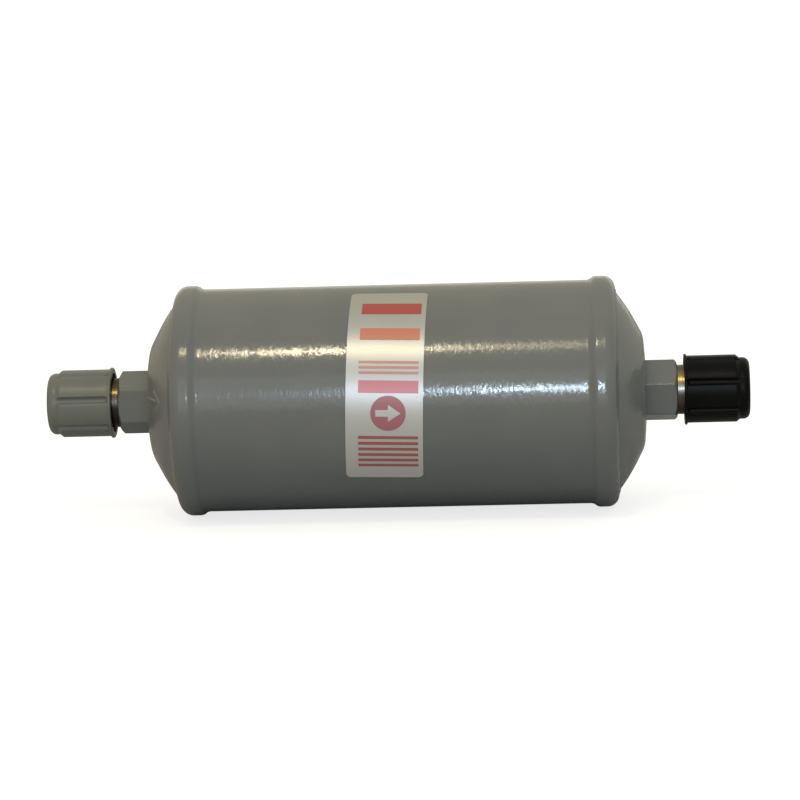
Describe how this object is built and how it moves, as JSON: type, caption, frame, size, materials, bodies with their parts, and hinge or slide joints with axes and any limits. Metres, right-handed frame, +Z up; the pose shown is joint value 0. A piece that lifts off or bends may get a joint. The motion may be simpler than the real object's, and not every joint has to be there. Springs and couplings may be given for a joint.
{
  "type": "filter drier",
  "caption": "Liquid-line filter drier: a grey steel cylinder with beaded ends and pressed end caps, a hexagon flare fitting at each end and fluted screw-on protector caps.",
  "frame": {"origin": "centre of the shell, on its axis", "axes": "+X along the axis the way the liquid flows, out of the outlet; -Y is the side the label faces, +Z is up"},
  "size_m": [0.2396, 0.0786, 0.0786],
  "materials": {
    "grey_paint": "gloss",
    "plated_steel": "satin",
    "bare_steel": "satin",
    "braze": "satin",
    "grey_plastic": "satin",
    "black_plastic": "satin",
    "seal_rubber": "matte",
    "label_paper": "satin",
    "label_ink": "satin",
    "fibre": "matte",
    "desiccant": "matte"
  },
  "bodies": {
    "housing": {"shell": "grey_paint", "inlet_end_cap": "grey_paint", "outlet_end_cap": "grey_paint", "inlet_end_weld": "grey_paint", "outlet_end_weld": "grey_paint", "inlet_fitting": "plated_steel", "outlet_fitting": "plated_steel", "inlet_braze": "braze", "outlet_braze": "braze", "label": "label_paper", "label_print": "label_ink", "core_spring": "bare_steel", "pressure_plate": "bare_steel", "perforated_plate": "bare_steel", "inlet_pad": "fibre", "filter_mat": "fibre", "desiccant_core": "desiccant"},
    "inlet_cap": {"inlet_cap": "grey_plastic"},
    "outlet_cap": {"outlet_cap": "black_plastic"},
    "inlet_seal": {"inlet_cap_seal": "seal_rubber"},
    "outlet_seal": {"outlet_cap_seal": "seal_rubber"}
  },
  "joints": [
    {"name": "inlet_cap_travel", "type": "slide", "parent": "housing", "child": "inlet_seal", "axis": [-1, 0, 0], "range_m": [0, 0.01905]},
    {"name": "inlet_cap_turn", "type": "hinge", "parent": "inlet_seal", "child": "inlet_cap", "pos_m": [-0.1163, 0, 0], "axis": [-1, 0, 0], "range_deg": [0, 4320]},
    {"name": "outlet_cap_travel", "type": "slide", "parent": "housing", "child": "outlet_seal", "axis": [1, 0, 0], "range_m": [0, 0.01905]},
    {"name": "outlet_cap_turn", "type": "hinge", "parent": "outlet_seal", "child": "outlet_cap", "pos_m": [0.1163, 0, 0], "axis": [1, 0, 0], "range_deg": [0, 4320]}
  ],
  "couplings": [
    {"joint": "inlet_cap_travel", "follows": "inlet_cap_turn", "m_per_rad": 0.00025266},
    {"joint": "outlet_cap_travel", "follows": "outlet_cap_turn", "m_per_rad": 0.00025266}
  ]
}
